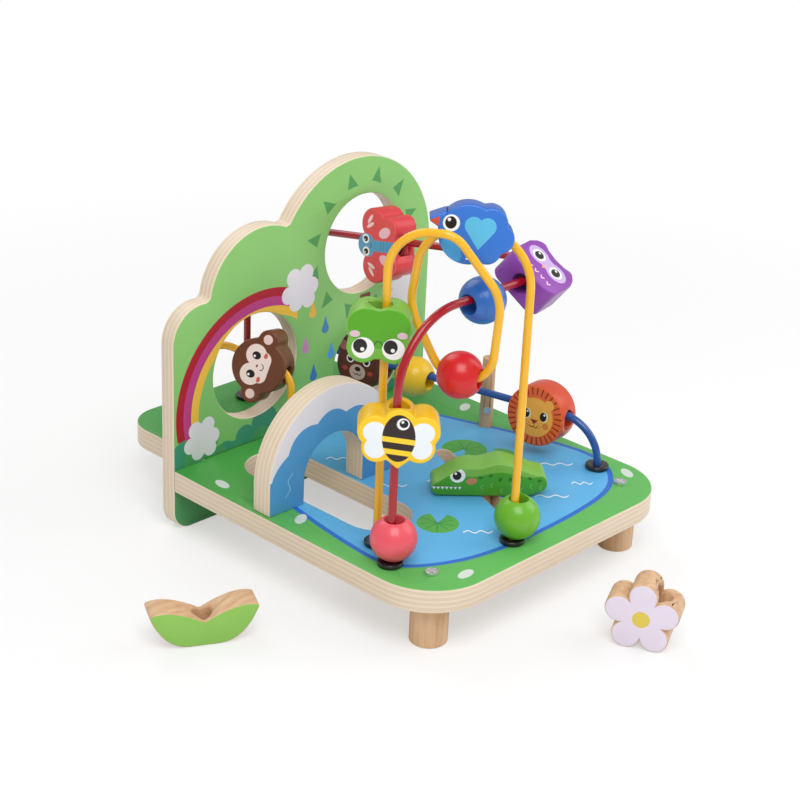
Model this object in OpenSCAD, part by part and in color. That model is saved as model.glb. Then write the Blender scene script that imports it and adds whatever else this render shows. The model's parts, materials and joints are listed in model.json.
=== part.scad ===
// Wooden bead maze: a pond board on two legs, a cloud-topped back panel, an arch bridge,
// four bent wires with ball and animal beads, a crocodile in a slot, and a flower and a leaf
// that lift on and off a post. Millimetres, +Z up, +Y to the back. The origin is the middle of
// the panel's bottom edge, on the floor.

/* [Boards] */
// Width of the base board and of the back panel
board_w = 230; // [215:1:260]
// Depth of the base board in front of the panel
board_front = 226; // [220:1:260]
// Thickness of the base board
board_t = 15; // [13:0.5:18]
// Radius of the front corners of the base board
board_corner = 40; // [20:1:45]
// Distance of the tongue, which passes through the panel, from the side edge of the board
tongue_side = 25; // [20:1:40]
// How far the tongue reaches behind the panel
tongue_reach = 73; // [65:1:90]
// Radius of the rear corners of the tongue
tongue_corner = 25; // [10:1:30]
// Clearance round the tongue in its slot
tongue_play = 0.2; // [0.1:0.05:0.4]

/* [Legs] */
// Height of the board's underside over the floor
leg_h = 29; // [20:1:45]
// Diameter of a leg
leg_d = 23; // [18:1:28]
// Distance of a leg from the side edge of the board
leg_side = 26.5; // [20:0.5:40]
// Distance of a leg from the front edge of the board
leg_front = 25.5; // [18:0.5:40]

/* [Back panel] */
// Thickness of the back panel
panel_t = 12; // [9:0.5:15]
// Radius of the tall lobe
tall_r = 72; // [66:1:76]
// Height of the tall lobe's centre
tall_z = 150; // [145:1:160]
// Radius of the middle lobe
middle_r = 45; // [42:1:50]
// Place of the middle lobe's centre along the panel
middle_x = -40; // [-46:1:-36]
// Height of the middle lobe's centre
middle_z = 147; // [142:1:152]
// Radius of the low lobe
low_r = 24; // [21:1:28]
// Height of the low lobe's centre
low_z = 128; // [122:1:134]
// Radius of the fillets between the lobes
notch_r = 6; // [3:0.5:9]
// Radius of the bottom corners of the panel
skirt_corner = 14; // [5:1:20]
// Diameter of the upper window
upper_window_d = 69; // [60:1:76]
// Diameter of the side window
side_window_d = 72; // [60:1:76]
// Diameter of the cave opening
cave_d = 64; // [56:1:66]

/* [Arch bridge] */
// Width of the arch
arch_w = 108; // [100:1:112]
// Height of the arch over the board
arch_h = 73; // [62:1:85]
// Width of the opening under the arch
arch_gap_w = 50; // [46:1:56]
// Height of the opening under the arch
arch_gap_h = 41; // [30:1:50]
// Thickness of the arch
arch_t = 15; // [12:0.5:18]
// Place of the arch across the board
arch_x = -59; // [-60:1:-56]
// Distance of the arch's front face from the panel
arch_y = 88; // [80:1:95]

/* [Slots in the board] */
// Width of the wide opening under the arch
river_w = 44; // [36:1:46]
// Distance of the opening's rear end from the panel
river_rear = 16; // [12:1:24]
// Length of the opening
river_len = 132; // [100:1:136]
// Width of the crocodile's slot
track_w = 10; // [9:0.5:12]
// Length of the crocodile's slot, from end to end
track_len = 99; // [80:1:104]
// Turn of the slot from the board's depth
track_turn = -21; // [-25:1:-15]

/* [Wires] */
// Diameter of a wire
wire_d = 5; // [4:0.25:5.5]
// Depth of a wire's end in the board
wire_seat = 10; // [6:0.5:11]
// Diameter of a wire's end cap
cap_d = 15.5; // [13:0.5:18]
// Height of a wire's end cap
cap_h = 3; // [2:0.25:4]
// Clearance of a wire in its hole and its cap
wire_play = 0.1; // [0.05:0.05:0.2]

/* [Beads] */
// Diameter of a ball bead
ball_d = 28; // [25:0.5:29]
// Diameter of the bore of every bead
bore_d = 12; // [11.5:0.25:13]
// Thickness of an animal bead
figure_t = 20; // [18:0.5:22]
// Gap left between a bead and the wire that it hangs on
touch = 0.3; // [0.2:0.05:0.5]

/* [Crocodile] */
// Length of the crocodile
croc_len = 73; // [64:1:76]
// Height of the crocodile's back
croc_h = 23; // [21:0.5:26]
// Thickness of the crocodile
croc_t = 20; // [17:0.5:22]
// Clearance of the crocodile over the board
croc_lift = 0.5; // [0.3:0.1:1]
// Clearance of the bush in the slot, on each side
track_play = 0.3; // [0.2:0.05:0.5]
// Diameter of the bush's flange under the board
flange_d = 24; // [18:1:30]
// Height of the bush's flange
flange_h = 3; // [2:0.5:4]

/* [Flower and leaf] */
// Diameter of the flower post
post_d = 9; // [8:0.25:9.5]
// Height of the flower post over the board
post_h = 50; // [40:1:60]
// Depth of the post in the board
post_seat = 10; // [6:0.5:11]
// Span of the flower from petal to petal
flower_d = 46; // [42:1:50]
// Thickness of the flower
flower_t = 21; // [18:0.5:24]
// Diameter of the flower's yellow middle
flower_eye_d = 10.5; // [8:0.5:13]
// Span of the leaf from tip to tip
leaf_w = 65; // [58:1:72]
// Height of the leaf
leaf_h = 24; // [21:0.5:28]
// Width of the leaf's flat foot
leaf_foot = 19; // [15:1:24]
// Thickness of the leaf
leaf_t = 18.5; // [17:0.5:22]

/* [Screws] */
// Diameter of a screw's shank
screw_d = 4; // [3:0.25:4.5]
// Diameter of a screw's head
screw_head_d = 8; // [7:0.25:9]
// Height of a screw's head
screw_head_h = 2; // [1.5:0.25:2.5]
// Length of a screw's shank
screw_len = 30; // [26:1:34]
// Clearance round a screw's shank
screw_play = 0.1; // [0.05:0.05:0.2]

/* [Hidden] */
$fn = 48;
// A little more, so that a cut runs clear of the face it passes
past = 1;

board_top = leg_h + board_t;
tongue_w = board_w - 2 * tongue_side;
// Front face of the panel: places on the board are measured from it
front = -panel_t / 2;
tall_x = board_w / 2 - tall_r;
low_x = low_r - board_w / 2;
// Middles of the round openings in the panel: across and up
upper_window = [49, 161];
side_window = [-46, 98];
cave = [57, 73.5];
leg_x = board_w / 2 - leg_side;
leg_y = front + leg_front - board_front;

// Rest place of the crocodile's bush, and the slot's own direction
croc_at = [15, front - 149];
// Turn of the crocodile at rest, and how far its middle is behind the bush
croc_turn = -43;
croc_back = 2;
track_dir = [sin(-track_turn), cos(-track_turn)];
// How far the slot runs in front of the bush at rest
track_ahead = 35;
bush_d = track_w - 2 * track_play;

post_at = [90, front - 83];
// The small screw that pins the post, over the board
pin_z = 13;
pin_head_d = 5;
pin_d = 2.5;
pin_len = 6;

// Wires: a foot, the corners with their bend radii, and the other foot
function foot(x, y) = [x, front + y, board_top - wire_seat, 0];
function corner(x, y, z, r) = [x, front + y, z, r];
loop_route = [
    foot(-87, -154),
    corner(-87, -154, 241, 26), corner(-70, -188, 243, 14), corner(-47, -204.5, 205, 33),
    corner(-43, -193, 100, 19), corner(-68.5, -154.5, 191.5, 35), corner(-66, -161, 239, 26),
    corner(-24, -206, 244, 36),
    foot(-24, -206)
];
sweep_route = [
    foot(-99, -177),
    corner(-99, -177, 195, 45), corner(49, -177, 196, 38),
    corner(49, 57, 156, 20), corner(-3, 57, 142, 20),
    foot(-3, 57)
];
hill_route = [
    foot(-55, 42), corner(-55, 42, 109, 18), corner(-31, -18, 95, 16), foot(-31, -18)
];
stream_route = [
    foot(95, -176), corner(95, -176, 75, 28), corner(46, 51, 75, 20), foot(46, 51)
];
routes = [loop_route, sweep_route, hill_route, stream_route];

// Straight stretches and bends of a route
function at(r, i) = [r[i][0], r[i][1], r[i][2]];
function unit(v) = v / norm(v);
function heading(r, i) = unit(at(r, i + 1) - at(r, i));
function turn(r, i) = acos(heading(r, i - 1) * heading(r, i));
function setback(r, i) = i == 0 || i == len(r) - 1 ? 0 : r[i][3] * tan(turn(r, i) / 2);
function run_start(r, i) = at(r, i) + heading(r, i) * setback(r, i);
function run_end(r, i) = at(r, i + 1) - heading(r, i) * setback(r, i + 1);
function run_len(r, i) = norm(run_end(r, i) - run_start(r, i));
function bend_axis(r, i) = unit(cross(heading(r, i - 1), heading(r, i)));
function bend_middle(r, i) =
    run_end(r, i - 1) + cross(bend_axis(r, i), heading(r, i - 1)) * r[i][3];
// Direction from a bend's middle to the wire, after turning by a
function bend_spoke(r, i, a) =
    heading(r, i - 1) * sin(a) - cross(bend_axis(r, i), heading(r, i - 1)) * cos(a);
function bend_tangent(r, i, a) = cross(bend_axis(r, i), bend_spoke(r, i, a));

// A part of v that is square to t, at length one
function square_to(v, t) = unit(v - (v * t) * t);
// How far a bead drops before its bore rests on a straight wire
hang = (bore_d - wire_d) / 2 - touch;
// Place of a bead: middle, direction of its bore, direction that its face looks in
function on_run(r, i, d, face, drop) = [
    run_start(r, i) + heading(r, i) * d + square_to(drop, heading(r, i)) * hang,
    heading(r, i), face
];
function on_bend(r, i, a, face, shift, drop = 0) = [
    bend_middle(r, i) + bend_spoke(r, i, a) * (r[i][3] + shift) - [0, 0, drop],
    bend_tangent(r, i, a), face
];

down = [0, 0, -1];
// Directions that faces look in: to the front left, and along the board
front_left = [-0.7, -0.7, 0.15];
leftward = [-1, 0, 0.1];
ball_bore_len = sqrt(ball_d * ball_d - bore_d * bore_d);
// Height over the start of a wire at which a ball stands on its cap
ball_rest = cap_h + wire_seat + touch + ball_bore_len / 2;

pink_place = on_run(sweep_route, 0, ball_rest, front_left, [1, 0.3, 0]);
bee_place = on_run(sweep_route, 0, 94, front_left, [1, 0.3, 0]);
blue_place = on_run(sweep_route, 1, 23, front_left, down);
owl_place = on_bend(sweep_route, 2, 14, [0.3, -0.55, 0.78], -2.9, 1.2);
butterfly_place = on_run(sweep_route, 2, 118, leftward, down);
green_place = on_run(loop_route, 7, run_len(loop_route, 7) - ball_rest, front_left, [1, 0, 0]);
frog_place = on_run(loop_route, 0, 147.5, [-0.75, -0.66, 0.15], [-0.68, 0.73, 0]);
red_place = on_bend(loop_route, 4, 88, front_left, -2.8);
bird_place = on_bend(loop_route, 7, 8, front_left, -3);
monkey_place = on_run(hill_route, 1, 23.5, [-0.9, -0.3, 0.3], down);
lion_place = on_run(stream_route, 1, 15, leftward, down);
yellow_place = on_run(stream_route, 1, 113, leftward, down);
bear_place = on_run(stream_route, 1, 153, leftward, down);

// Loose pieces beside the toy: middle on the floor, and the turn of the face
leaf_at = [-186, front - 111];
leaf_turn = -28;
flower_at = [4, front - 287];
flower_turn = -64;

// A strip of width w with round ends, from p to q
module strip(p, q, w) {
    translate(p) circle(d = w);
    translate(q) circle(d = w);
    translate(p) rotate(atan2(q[1] - p[1], q[0] - p[0])) translate([0, -w / 2])
        square([norm(q - p), w]);
}

// A rectangle from y = 0 to y = d whose two far corners are round
module tongue_shape(w, d, r) {
    translate([-w / 2, 0]) square([w, d - r]);
    translate([r - w / 2, 0]) square([w - 2 * r, d]);
    for (side = [-1, 1]) translate([side * (w / 2 - r), d - r]) circle(r = r);
}

// An arch of width w and height h: straight sides under a half circle
module arch_shape(w, h) {
    difference() {
        union() {
            translate([-w / 2, 0]) square([w, h - w / 2]);
            translate([0, h - w / 2]) circle(d = w);
        }
        translate([-w, -2 * w]) square([2 * w, 2 * w]);
    }
}

// Children stood up from the plan: their x runs across and their y runs up
module upright(y, t) {
    translate([0, y, 0]) rotate([90, 0, 0]) linear_extrude(t) children();
}

// Children set with their z along z_dir and their x along x_dir
module set_along(origin, x_dir, z_dir) {
    y_dir = cross(z_dir, x_dir);
    multmatrix([
        [x_dir[0], y_dir[0], z_dir[0], origin[0]],
        [x_dir[1], y_dir[1], z_dir[1], origin[1]],
        [x_dir[2], y_dir[2], z_dir[2], origin[2]],
        [0, 0, 0, 1]
    ]) children();
}

// Children set on a wire: their y runs along the bore and their z is the face's direction
module on_wire(place) {
    z_dir = square_to(place[2], place[1]);
    set_along(place[0], cross(place[1], z_dir), z_dir) children();
}

// A round-headed screw: the head's seat is z = 0 and the shank runs down
module screw(length, d = screw_d, head_d = screw_head_d, head_h = screw_head_h) {
    recess_w = head_d / 7;
    translate([0, 0, -length]) cylinder(d = d, h = length);
    difference() {
        cylinder(d = head_d, h = head_h);
        for (a = [0, 90]) rotate(a) translate([-head_d / 3, -recess_w / 2, head_h / 2])
            cube([head_d / 1.5, recess_w, head_h]);
    }
}

// The hole that a screw's shank needs, with the head's seat at z = 0
module screw_hole(length, d = screw_d) {
    translate([0, 0, -length]) cylinder(d = d + 2 * screw_play, h = length + past);
}

// Where the screws go: children stand with +Z out of the screwed face
module at_legs() {
    for (side = [-1, 1]) translate([side * leg_x, leg_y, board_top]) children();
}
module at_arch_feet() {
    foot_x = (arch_w + arch_gap_w) / 4;
    for (side = [-1, 1]) translate([arch_x + side * foot_x, front + arch_t / 2 - arch_y, leg_h])
        rotate([180, 0, 0]) children();
}
module at_panel_screws() {
    screw_x = (board_w + tongue_w) / 4;
    for (side = [-1, 1]) translate([side * screw_x, panel_t / 2, leg_h + board_t / 2])
        rotate([-90, 0, 0]) children();
}

// Feet of all wires on the board
module at_feet() {
    for (r = routes) for (i = [0, len(r) - 1]) translate([r[i][0], r[i][1], board_top])
        children();
}

module track_strip(w) {
    ahead = track_ahead - track_w / 2;
    behind = track_len - track_ahead - track_w / 2;
    strip(croc_at - track_dir * ahead, croc_at + track_dir * behind, w);
}

module base_board() color("yellowgreen") {
    river_front = river_rear + river_len;
    difference() {
        translate([0, 0, leg_h]) linear_extrude(board_t) difference() {
            translate([0, front]) {
                mirror([0, 1]) tongue_shape(board_w, board_front, board_corner);
                tongue_shape(tongue_w, panel_t + tongue_reach, tongue_corner);
            }
            translate([arch_x, front])
                strip([0, -river_rear - river_w / 2], [0, river_w / 2 - river_front], river_w);
            track_strip(track_w);
        }
        at_feet() translate([0, 0, -wire_seat])
            cylinder(d = wire_d + 2 * wire_play, h = wire_seat + past);
        translate([post_at[0], post_at[1], board_top - post_seat])
            cylinder(d = post_d + 2 * wire_play, h = post_seat + past);
        at_legs() screw_hole(board_t + past);
        at_arch_feet() screw_hole(board_t + past);
        at_panel_screws() screw_hole(screw_len);
    }
}

// Filler between two lobes, hollowed by a round fillet that just bites into both
module notch_filler(c1, r1, c2, r2) {
    gap = norm(c2 - c1);
    bite = 0.3;
    side1 = r1 + notch_r - bite;
    side2 = r2 + notch_r - bite;
    along = (gap * gap + side1 * side1 - side2 * side2) / (2 * gap);
    over = sqrt(side1 * side1 - along * along);
    u = (c2 - c1) / gap;
    corner = c1 + u * along + [-u[1], u[0]] * over;
    difference() {
        polygon([c1, c2, corner]);
        translate(corner) circle(r = notch_r);
    }
}

module panel_shape() {
    low = [low_x, low_z];
    middle = [middle_x, middle_z];
    tall = [tall_x, tall_z];
    half = board_w / 2;
    difference() {
        union() {
            polygon([
                [skirt_corner - half, 0], [half - skirt_corner, 0], [half, skirt_corner],
                [half, tall_z], tall, middle, low, [-half, low_z], [-half, skirt_corner]
            ]);
            for (side = [-1, 1]) translate([side * (half - skirt_corner), skirt_corner])
                circle(r = skirt_corner);
            translate(low) circle(r = low_r);
            translate(middle) circle(r = middle_r);
            translate(tall) circle(r = tall_r);
            notch_filler(low, low_r, middle, middle_r);
            notch_filler(middle, middle_r, tall, tall_r);
        }
        translate(upper_window) circle(d = upper_window_d);
        translate(side_window) circle(d = side_window_d);
        translate(cave) circle(d = cave_d);
        translate([-tongue_w / 2 - tongue_play, leg_h - tongue_play])
            square([tongue_w + 2 * tongue_play, board_t + 2 * tongue_play]);
    }
}

module back_panel() color("mediumseagreen") difference() {
    upright(panel_t / 2, panel_t) panel_shape();
    at_panel_screws() screw_hole(screw_len);
}

module arch_bridge() color("steelblue") difference() {
    translate([arch_x, 0, board_top]) upright(front + arch_t - arch_y, arch_t) difference() {
        arch_shape(arch_w, arch_h);
        translate([0, -past]) arch_shape(arch_gap_w, arch_gap_h + past);
    }
    at_arch_feet() screw_hole(screw_len + past);
}

module leg(side) color("burlywood") difference() {
    translate([side * leg_x, leg_y, 0]) cylinder(d = leg_d, h = leg_h);
    at_legs() screw_hole(screw_len + past);
}
module front_left_leg() leg(-1);
module front_right_leg() leg(1);

module leg_screws() color("silver") at_legs() screw(screw_len);
module arch_screws() color("silver") at_arch_feet() screw(screw_len);
module panel_screws() color("silver") at_panel_screws() screw(screw_len);

// The pin goes into the post from the front left
module at_pin() {
    translate([post_at[0], post_at[1], board_top + pin_z]) rotate(-45) rotate([90, 0, 0])
        translate([0, 0, post_d / 2]) children();
}
module flower_post() color("burlywood") difference() {
    translate([post_at[0], post_at[1], board_top - post_seat])
        cylinder(d = post_d, h = post_seat + post_h);
    at_pin() screw_hole(pin_len, pin_d);
}
module post_pin() color("silver") at_pin() screw(pin_len, pin_d, pin_head_d, pin_d / 2);

// The straight stretches are a hair thinner and lap into the bends
module wire(r) {
    last = len(r) - 2;
    lap = 0.5;
    hair = 0.06;
    for (i = [0:last]) {
        from = i == 0 ? 0 : lap;
        to = i == last ? 0 : lap;
        set_along(run_start(r, i), square_to([0.6, 0.5, 0.4], heading(r, i)), heading(r, i))
            translate([0, 0, -from])
                cylinder(d = wire_d - hair, h = run_len(r, i) + from + to);
    }
    for (i = [1:last]) set_along(bend_middle(r, i), bend_spoke(r, i, 0), bend_axis(r, i))
        rotate_extrude(angle = turn(r, i)) translate([r[i][3], 0]) circle(d = wire_d);
}
module yellow_loop_wire() color("gold") wire(loop_route);
module red_sweep_wire() color("crimson") wire(sweep_route);
module yellow_hill_wire() color("gold") wire(hill_route);
module blue_stream_wire() color("royalblue") wire(stream_route);

module wire_caps() color("black") at_feet() difference() {
    cylinder(d = cap_d, h = cap_h);
    translate([0, 0, -past]) cylinder(d = wire_d + 2 * wire_play, h = cap_h + 2 * past);
}

// Beads: a ball or a sawn figure, drilled along its y. A bowed bore is drilled from both ends,
// aslant, for a long figure on a bend
module bore(bow) {
    reach = 40;
    if (bow == 0) rotate([90, 0, 0]) cylinder(d = bore_d, h = 2 * reach, center = true);
    else for (side = [-1, 1]) rotate(-side * bow) rotate([-side * 90, 0, 0])
        translate([0, 0, -reach / 8]) cylinder(d = bore_d, h = reach);
}
module ball(place) on_wire(place) rotate([-90, 0, 0]) rotate_extrude() intersection() {
    circle(d = ball_d);
    translate([bore_d / 2, -ball_d]) square([ball_d, 2 * ball_d]);
}
module figure(place, quarter = 0, bow = 0) on_wire(place) difference() {
    rotate(quarter) translate([0, 0, -figure_t / 2])
        for (k = [0:$children - 1]) linear_extrude(figure_t) children(k);
    bore(bow);
}

module pink_ball() color("palevioletred") ball(pink_place);
module green_ball() color("limegreen") ball(green_place);
module red_ball() color("red") ball(red_place);
module blue_ball() color("dodgerblue") ball(blue_place);
module yellow_ball() color("yellow") ball(yellow_place);

// Frog: a round head with two eye bumps
module frog_bead() color("forestgreen") figure(frog_place, 180) {
    circle(r = 15);
    for (side = [-1, 1]) {
        translate([side * 6.4, -4]) circle(r = 12);
        translate([side * 8.6, 8]) circle(r = 9.4);
    }
}

// Bee: four wings and a striped body that ends in a sting
module bee_bead() color("gold") figure(bee_place) {
    for (side = [-1, 1]) {
        translate([side * 13.5, 4]) circle(r = 10);
        translate([side * 12, -6]) circle(r = 9);
    }
    translate([0, 8]) circle(r = 10);
    polygon([[-10, 8], [10, 8], [7, -13], [0, -19], [-7, -13]]);
}

// Butterfly: two large and two small wings with a head between them
module butterfly_bead() color("tomato") figure(butterfly_place) {
    translate([0, 11]) circle(r = 8);
    polygon([[-10, 12], [10, 12], [9, -15], [-9, -15]]);
    for (side = [-1, 1]) {
        translate([side * 14, 4]) circle(r = 11);
        translate([side * 12, -9]) circle(r = 8);
    }
}

// Bird: a round body with a beak and a scalloped tail, drilled from breast to tail
module bird_bead() color("royalblue") figure(bird_place, 90, 6) {
    translate([-3, 0]) circle(r = 17);
    polygon([[-26, 7.6], [-25, 5.2], [-16, 0], [-16, 12]]);
    translate([9, 7]) circle(r = 9);
    translate([14, -1]) circle(r = 8.5);
    translate([8, -8]) circle(r = 8);
}

// Owl: a square head with round cheeks and two blunt ears
module owl_bead() color("mediumpurple") figure(owl_place) {
    polygon([
        [-18.5, -11], [18.5, -11], [18.5, 8], [16.5, 14], [13.5, 18], [10.5, 18.4], [7, 16.4],
        [0, 15.2], [-7, 16.4], [-10.5, 18.4], [-13.5, 18], [-16.5, 14], [-18.5, 8]
    ]);
    translate([-10.5, -19]) square([21, 10]);
    for (side = [-1, 1]) translate([side * 10.5, -11]) circle(r = 8);
}

// Monkey: a round head with ears at its sides
module monkey_bead() color("saddlebrown") figure(monkey_place, 180) {
    circle(r = 18.5);
    for (side = [-1, 1]) translate([side * 18, -1]) circle(r = 7);
}

// Lion: a round mane
module lion_bead() color("orangered") figure(lion_place, 180) circle(r = 20.5);

// Bear: a round head with two ears
module bear_bead() color("sienna") figure(bear_place, -90) {
    circle(r = 17.5);
    for (side = [-1, 1]) translate([side * 12.5, 12]) circle(r = 6.5);
}

// Crocodile, seen from its side: a round snout, a brow, a back and a tail over a flat belly
module croc_shape() {
    l = croc_len / 2;
    h = croc_h;
    snout_r = 5;
    tail_r = 6.5;
    polygon([
        [snout_r - l, 0], [l - 16, 0], [l - 9, 1], [l - tail_r, 2.6], [l - tail_r, 15.6],
        [l - 10, 16.2], [l - 14, 18], [l - 19, h - 3.6], [l - 24, h - 1.2], [l - 29, h],
        [l - 34, h - 0.4], [l - 39, h - 2.2], [l - 44, h - 3.6], [l - 49, h - 3.2],
        [l - 54, h - 3.6], [l - 59, h - 6.2], [9 - l, 13.4], [4 - l, 9.9], [-l, snout_r]
    ]);
    translate([snout_r - l, snout_r]) circle(r = snout_r);
    translate([l - tail_r, 2.6 + tail_r]) circle(r = tail_r);
}
module at_croc() translate([croc_at[0], croc_at[1], board_top + croc_lift]) children();
module crocodile() color("olivedrab") at_croc() difference() {
    rotate(croc_turn) upright(croc_t / 2, croc_t) translate([croc_back, 0]) croc_shape();
    translate([0, 0, -past]) cylinder(d = screw_d + 2 * screw_play, h = croc_pilot + past);
}
// The bush fills the slot, and its flange under the board keeps the crocodile on it
bush_gap = 0.3;
croc_pilot = screw_len - board_t - croc_lift - flange_h - bush_gap + past;
module crocodile_bush() color("tan") {
    sleeve_h = board_t + croc_lift + bush_gap - touch;
    translate([croc_at[0], croc_at[1], leg_h - bush_gap]) difference() {
        union() {
            translate([0, 0, -flange_h]) cylinder(d = flange_d, h = flange_h);
            cylinder(d = bush_d, h = sleeve_h);
        }
        translate([0, 0, -flange_h - past])
            cylinder(d = screw_d + 4 * screw_play, h = flange_h + sleeve_h + 2 * past);
    }
}
module crocodile_screw() color("silver")
    translate([croc_at[0], croc_at[1], leg_h - bush_gap - flange_h - touch]) rotate([180, 0, 0])
        screw(screw_len);

// Flower: five petals round its middle, drilled upwards between two petals
petals = 5;
petal_r = flower_d * 0.19;
petal_out = flower_d / 2 - petal_r;
module flower_piece() difference() {
    translate([0, 0, -flower_t / 2]) linear_extrude(flower_t) children();
    rotate(90 - 180 / petals) rotate([0, 90, 0]) rotate(50) cylinder(d = bore_d, h = flower_d);
}
module flower() color("lavender") {
    lowest = petal_out * cos(180 / petals) + petal_r;
    translate([flower_at[0], flower_at[1], lowest]) rotate(flower_turn) rotate([90, 0, 0]) {
        flower_piece() circle(r = petal_out * 0.86);
        for (k = [0:petals - 1]) flower_piece() rotate(90 + k * 360 / petals)
            translate([petal_out, 0]) circle(r = petal_r);
    }
}

// Leaf: two blades that part at a notch over the bore
function arc_points(a, b, c) =
    [for (k = [0:8]) let (t = k / 8) (1 - t) * (1 - t) * a + 2 * t * (1 - t) * b + t * t * c];
module leaf() color("yellowgreen") {
    l = leaf_w / 2;
    tip = [l, leaf_h - 1.5];
    side = concat(
        arc_points([leaf_foot / 2, 0], [l * 0.76, leaf_h * 0.04], tip),
        arc_points(tip + [-1.2, 1], [l * 0.62, leaf_h * 1.14], [0, leaf_h * 0.66])
    );
    other = [for (k = [len(side) - 2:-1:0]) [-side[k][0], side[k][1]]];
    translate([leaf_at[0], leaf_at[1], 0]) rotate(leaf_turn) difference() {
        upright(leaf_t / 2, leaf_t) polygon(concat(side, other));
        translate([0, 0, -past]) cylinder(d = bore_d, h = leaf_h + 2 * past);
    }
}

base_board();
back_panel();
arch_bridge();
front_left_leg();
front_right_leg();
leg_screws();
arch_screws();
panel_screws();
flower_post();
post_pin();
yellow_loop_wire();
red_sweep_wire();
yellow_hill_wire();
blue_stream_wire();
wire_caps();
pink_ball();
green_ball();
red_ball();
blue_ball();
yellow_ball();
frog_bead();
bee_bead();
butterfly_bead();
bird_bead();
owl_bead();
monkey_bead();
lion_bead();
bear_bead();
crocodile();
crocodile_bush();
crocodile_screw();
flower();
leaf();
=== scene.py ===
import json
import math

import bpy
from mathutils import Matrix, Vector


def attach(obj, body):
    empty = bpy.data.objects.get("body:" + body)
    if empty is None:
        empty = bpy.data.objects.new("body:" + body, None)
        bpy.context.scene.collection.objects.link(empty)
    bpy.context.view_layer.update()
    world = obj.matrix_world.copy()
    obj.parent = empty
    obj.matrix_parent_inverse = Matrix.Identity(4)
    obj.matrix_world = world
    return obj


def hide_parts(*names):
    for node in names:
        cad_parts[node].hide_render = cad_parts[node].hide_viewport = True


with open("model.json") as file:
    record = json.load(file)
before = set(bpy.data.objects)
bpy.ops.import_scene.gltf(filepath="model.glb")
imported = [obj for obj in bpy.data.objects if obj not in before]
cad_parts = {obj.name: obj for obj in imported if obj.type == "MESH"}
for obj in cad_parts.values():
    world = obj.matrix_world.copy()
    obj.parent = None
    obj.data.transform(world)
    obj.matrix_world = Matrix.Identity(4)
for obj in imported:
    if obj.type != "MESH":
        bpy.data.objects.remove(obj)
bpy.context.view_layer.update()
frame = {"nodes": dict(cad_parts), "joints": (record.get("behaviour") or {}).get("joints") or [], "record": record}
nodes = frame["nodes"]
record = frame["record"]
jointOf = {joint["child"]: joint for joint in frame["joints"]}
bodyOf = {node: body for body, members in record["behaviour"]["bodies"].items() for node in members}
mm = 0.001
print("frame loaded:", len(nodes), "nodes")


# A socket in a material's tree: expressions on it add nodes
class Sock:
    def __init__(self, tree, out):
        self.tree = tree
        self.out = out

    def node(self, kind, settings=None, values=None, pick=0):
        made = self.tree.nodes.new("ShaderNode" + kind)
        for name, value in (settings or {}).items():
            setattr(made, name, value)
        for name, value in (values or {}).items():
            if isinstance(value, Sock):
                self.tree.links.new(value.out, made.inputs[name])
            else:
                made.inputs[name].default_value = value
        return Sock(self.tree, made.outputs[pick])

    def math(self, operation, *values, clamp=False):
        given = dict(enumerate((self, *values)))
        return self.node("Math", {"operation": operation, "use_clamp": clamp}, given)

    def vector(self, operation, *values, pick=0):
        return self.node("VectorMath", {"operation": operation}, dict(enumerate((self, *values))), pick)

    def __add__(self, other):
        return self.math("ADD", other)

    def __sub__(self, other):
        return self.math("SUBTRACT", other)

    def __rsub__(self, other):
        return self.math("MULTIPLY_ADD", -1.0, other)

    def __mul__(self, other):
        return self.math("MULTIPLY", other)

    def __truediv__(self, other):
        return self.math("DIVIDE", other)

    def __neg__(self):
        return self.math("MULTIPLY", -1.0)

    def __abs__(self):
        return self.math("ABSOLUTE")

    __radd__ = __add__
    __rmul__ = __mul__

    def low(self, other):
        return self.math("MINIMUM", other)

    def high(self, other):
        return self.math("MAXIMUM", other)

    def length(self):
        return self.vector("LENGTH", pick=1)

    # the same place, seen from a middle, turned and in another unit
    def seenFrom(self, middle, turn=(0, 0, 0), unit=(1, 1, 1)):
        given = {"Vector": self, "Location": middle, "Rotation": turn, "Scale": unit}
        return self.node("Mapping", {"vector_type": "TEXTURE"}, given)

    def parts(self):
        split = self.node("SeparateXYZ", values={"Vector": self})
        return [Sock(self.tree, out) for out in split.out.node.outputs]

    def mix(self, other, amount):
        given = {0: amount, 6: self, 7: other}
        return self.node("Mix", {"data_type": "RGBA"}, given, 2)


def tint(red, green, blue):
    # a colour as a screen shows it, 0 to 255
    share = [value / 255 for value in (red, green, blue)]
    return (*[v / 12.92 if v <= 0.04045 else ((v + 0.055) / 1.055) ** 2.4 for v in share], 1.0)


def finish(name, roughness=0.45, coat=0.0, metallic=0.0):
    material = bpy.data.materials.new(name)
    material.use_nodes = True
    tree = material.node_tree
    shader = tree.nodes["Principled BSDF"]
    shader.inputs["Roughness"].default_value = roughness
    shader.inputs["Metallic"].default_value = metallic
    shader.inputs["Coat Weight"].default_value = coat
    shader.inputs["Coat Roughness"].default_value = 0.18
    shader.inputs["Specular IOR Level"].default_value = 0.3
    place = Sock(tree, tree.nodes.new("ShaderNodeTexCoord").outputs["Object"])
    return material, shader, place


def feed(place, shader, name, value):
    place.tree.links.new(value.out, shader.inputs[name])


def solid(place, colour):
    return place.node("Mix", {"data_type": "RGBA"}, {0: 0.0, 6: colour, 7: colour}, 2)


def noise(place, scale, detail=3.0, rough=0.55):
    given = {"Vector": place, "Scale": scale, "Detail": detail, "Roughness": rough}
    return place.node("TexNoise", values=given)


def bump(place, shader, height, depth):
    given = {"Height": height, "Distance": depth * mm, "Strength": 1.0}
    feed(place, shader, "Normal", place.node("Bump", values=given))


# Shapes of a print: each gives the distance in mm from its edge, negative inside
def disc(p, x, y, r):
    return p.vector("DISTANCE", (x, y, 0), pick=1) - r


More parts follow.
